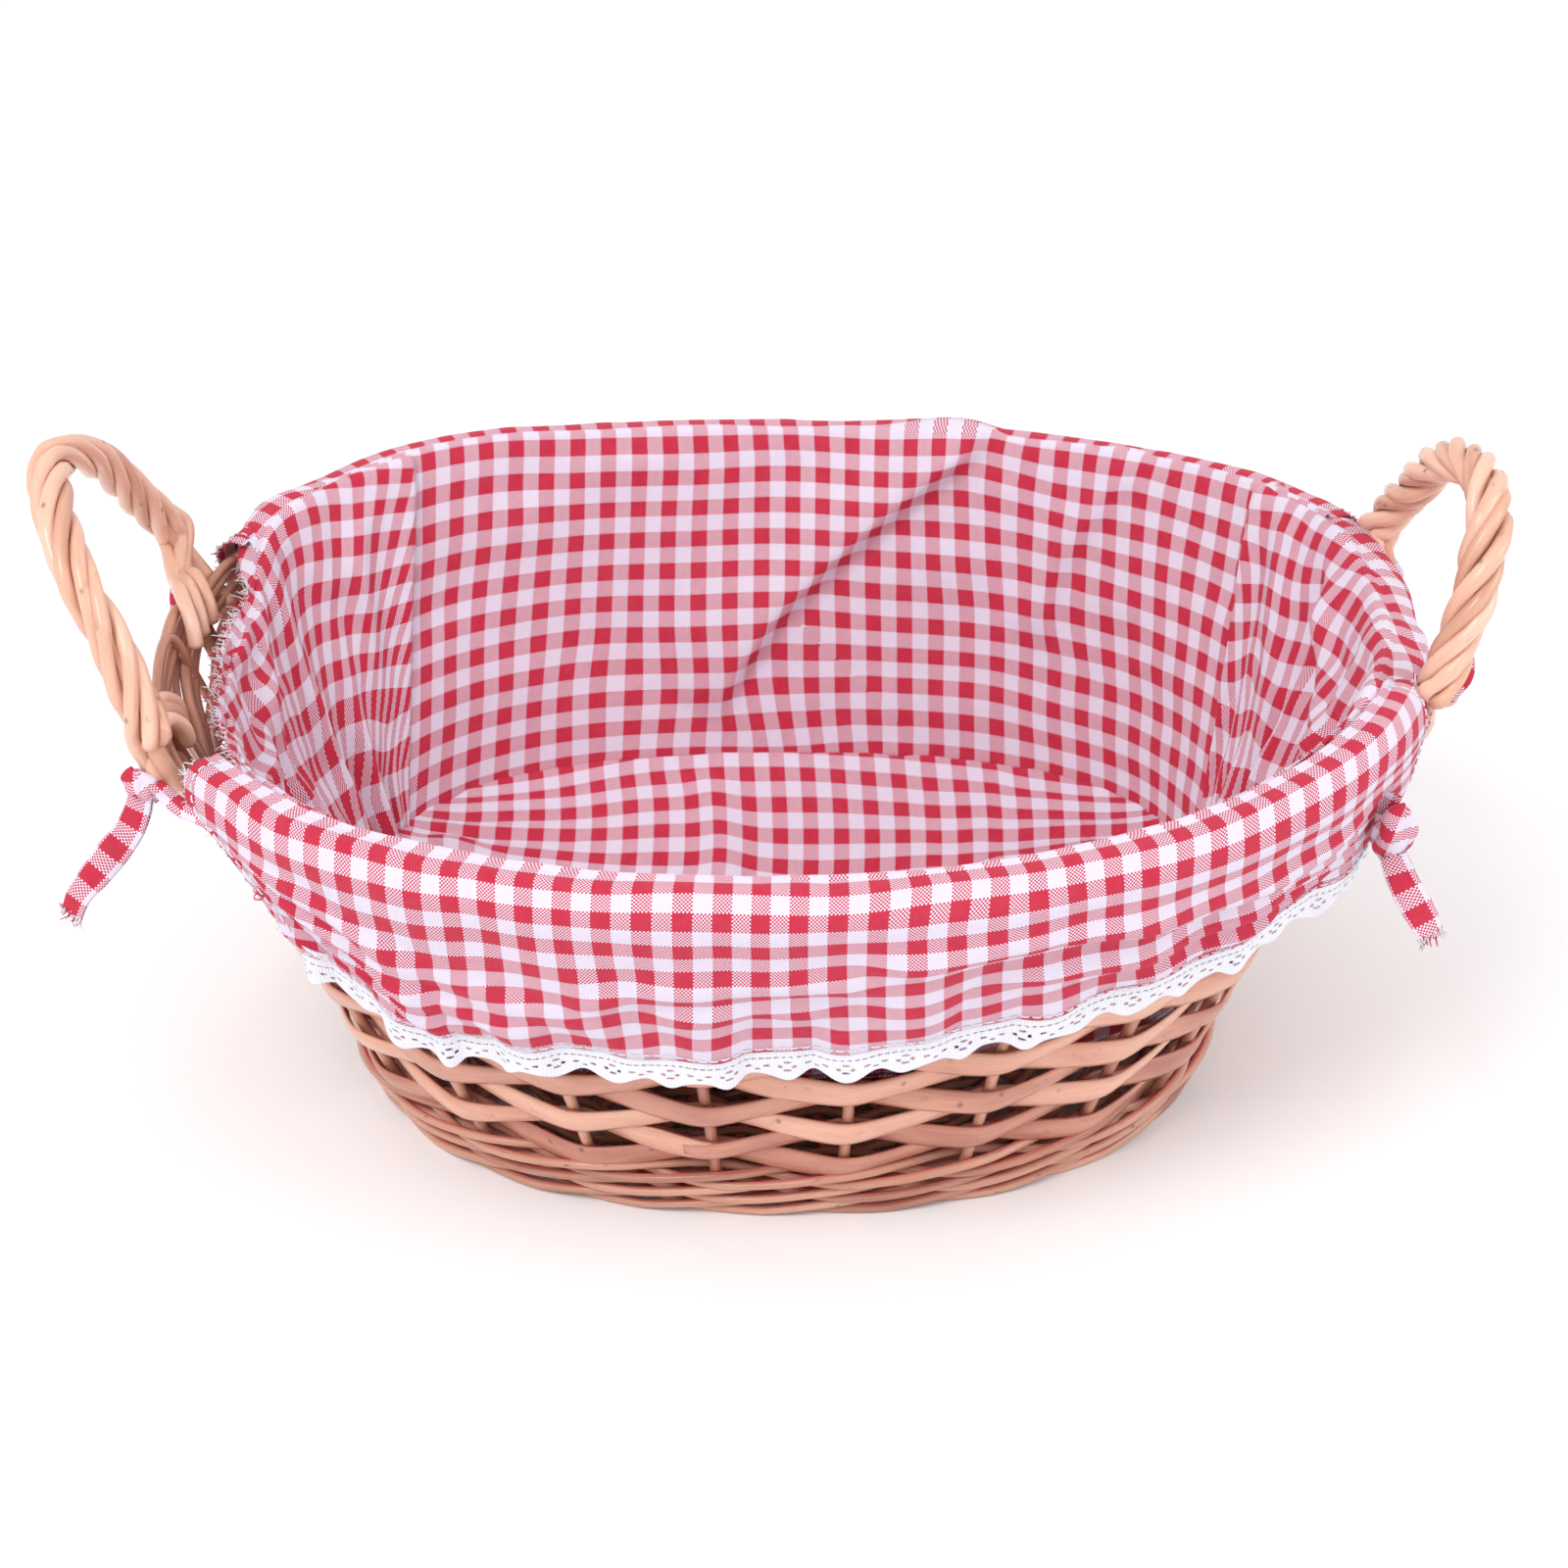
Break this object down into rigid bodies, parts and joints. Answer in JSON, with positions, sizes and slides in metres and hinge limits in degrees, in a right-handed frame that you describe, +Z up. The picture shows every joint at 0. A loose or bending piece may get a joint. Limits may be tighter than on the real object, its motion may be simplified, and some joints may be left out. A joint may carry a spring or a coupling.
{
  "type": "bread basket",
  "caption": "Oval woven willow bread basket with flared sides and two twisted ear handles, lined with removable red and white gingham folded over the rim, lace edged and tied at the handles.",
  "frame": {"origin": "on the standing plane, under the middle of the base, on the flat underside of the middle base stick", "axes": "+X along the length towards the right handle, -Y is the front, +Z up"},
  "size_m": [0.4047, 0.2808, 0.2056],
  "materials": {
    "split_willow": "varnished",
    "stake_willow": "varnished",
    "rod_willow": "varnished",
    "base_willow": "satin",
    "handle_willow": "varnished",
    "gingham": "matte woven cotton",
    "tie_cloth": "matte woven cotton",
    "lace": "matte cotton lace"
  },
  "bodies": {
    "basket": {"base_long_sticks": "base_willow", "base_cross_sticks": "base_willow", "base_weave": "base_willow", "stake_01": "stake_willow", "stake_02": "stake_willow", "stake_03": "stake_willow", "stake_04": "stake_willow", "stake_05": "stake_willow", "stake_06": "stake_willow", "stake_07": "stake_willow", "stake_08": "stake_willow", "stake_09": "stake_willow", "stake_10": "stake_willow", "stake_11": "stake_willow", "stake_12": "stake_willow", "stake_13": "stake_willow", "stake_14": "stake_willow", "stake_15": "stake_willow", "stake_16": "stake_willow", "stake_17": "stake_willow", "stake_18": "stake_willow", "stake_19": "stake_willow", "stake_20": "stake_willow", "foot_wale": "rod_willow", "lower_wale": "rod_willow", "strip_01": "split_willow", "strip_02": "split_willow", "strip_03": "split_willow", "strip_04": "split_willow", "strip_05": "split_willow", "strip_06": "split_willow", "strip_07": "split_willow", "strip_08": "split_willow", "strip_09": "split_willow", "strip_10": "split_willow", "upper_wale": "rod_willow", "left_handle_bow": "handle_willow", "left_handle_wrap": "handle_willow", "left_handle_binding": "handle_willow", "right_handle_bow": "handle_willow", "right_handle_wrap": "handle_willow", "right_handle_binding": "handle_willow"},
    "liner": {"liner_floor": "gingham", "liner_front_wall": "gingham", "liner_back_wall": "gingham", "liner_left_end": "gingham", "liner_right_end": "gingham", "front_cuff": "gingham", "back_cuff": "gingham", "front_lace": "lace", "back_lace": "lace", "left_front_tie": "tie_cloth", "right_front_tie": "tie_cloth", "left_back_tie": "tie_cloth", "right_back_tie": "tie_cloth"}
  },
  "joints": [
    {"name": "liner_lift", "type": "slide", "parent": "basket", "child": "liner", "axis": [0, 0, 1], "range_m": [0, 0.16], "deforming": ["front_cuff", "back_cuff", "front_lace", "back_lace", "left_front_tie", "right_front_tie", "left_back_tie", "right_back_tie"]}
  ]
}
